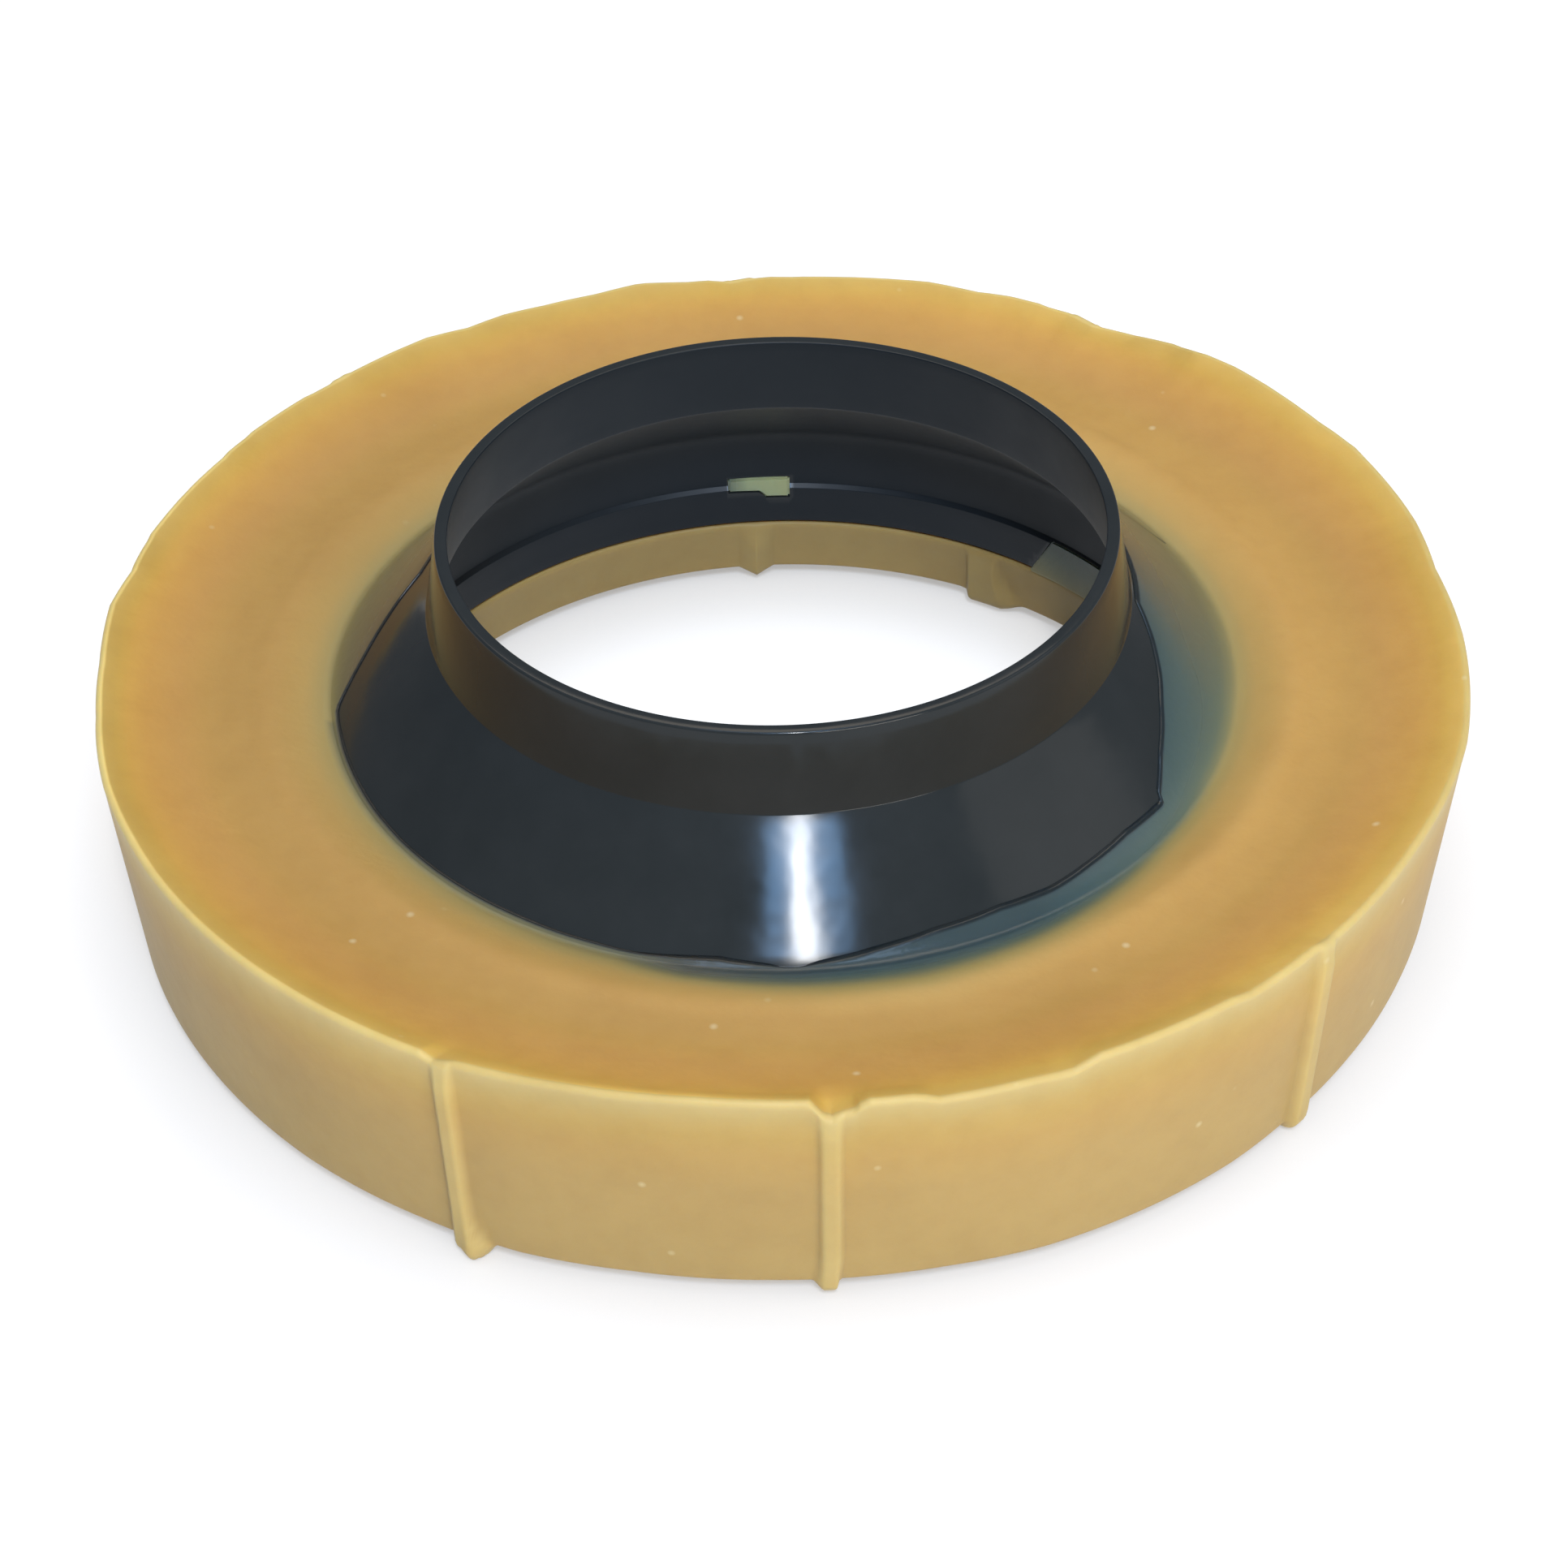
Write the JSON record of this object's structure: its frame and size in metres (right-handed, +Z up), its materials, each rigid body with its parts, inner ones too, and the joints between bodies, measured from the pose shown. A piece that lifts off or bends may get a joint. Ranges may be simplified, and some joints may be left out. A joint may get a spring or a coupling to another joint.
{
  "type": "toilet pan seal",
  "caption": "Round wax sealing ring cast on a flanged plastic horn, whose conical neck guides the pan outlet into the drain.",
  "frame": {"origin": "on the ring's axis, at the plane of the ribs that it stands on", "axes": "+Z up along the axis, towards the horn's neck; -Y towards the front of the picture, +X to its right"},
  "size_m": [0.14, 0.1416, 0.0399],
  "materials": {
    "amber_wax": "soft satin wax, cast",
    "black_polyethylene": "glossy moulded"
  },
  "bodies": {
    "root": {"wax_ring": "amber_wax", "horn": "black_polyethylene"}
  },
  "joints": []
}
